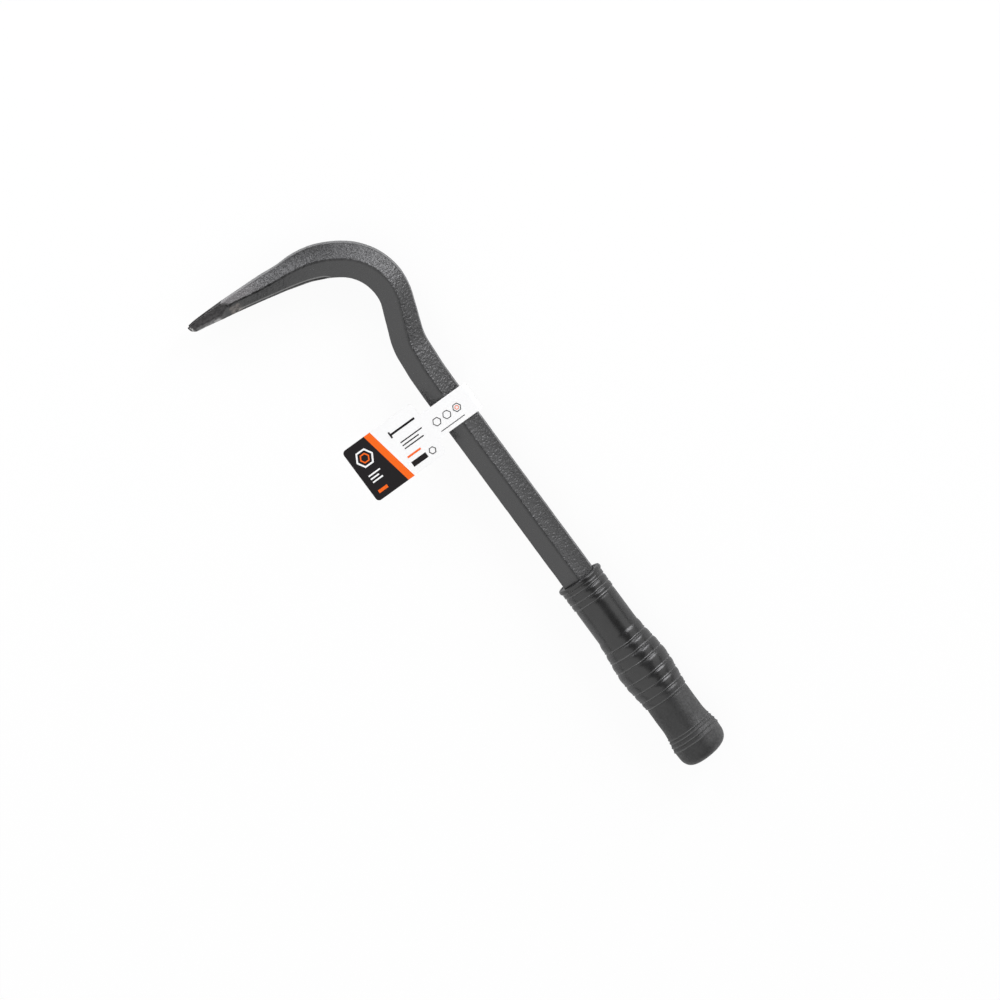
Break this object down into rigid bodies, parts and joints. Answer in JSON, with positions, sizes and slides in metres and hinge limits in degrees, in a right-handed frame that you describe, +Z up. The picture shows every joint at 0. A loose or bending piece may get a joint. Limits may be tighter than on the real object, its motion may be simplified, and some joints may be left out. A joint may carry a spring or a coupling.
{
  "type": "nail puller",
  "caption": "Forged hexagonal bar bent to a hook with a notched claw, a round ribbed handle grip and a folded card label that slides on the shank.",
  "frame": {"origin": "bottom centre of the tool's bounding box as it lies on its side, at the height of the grip's lowest point", "axes": "+X along the shank towards the end of the grip, +Y to the outer side of the hook, +Z up from the surface that the tool lies on"},
  "size_m": [0.303, 0.094, 0.0256],
  "materials": {
    "hammered_paint": "satin",
    "grip_vinyl": "satin",
    "card": "satin"
  },
  "bodies": {
    "tool": {"bar": "hammered_paint", "grip": "grip_vinyl"},
    "label": {"label": "card"}
  },
  "joints": [
    {"name": "label_slide", "type": "slide", "parent": "tool", "child": "label", "axis": [1, 0, 0], "range_m": [-0.025, 0.088]}
  ]
}
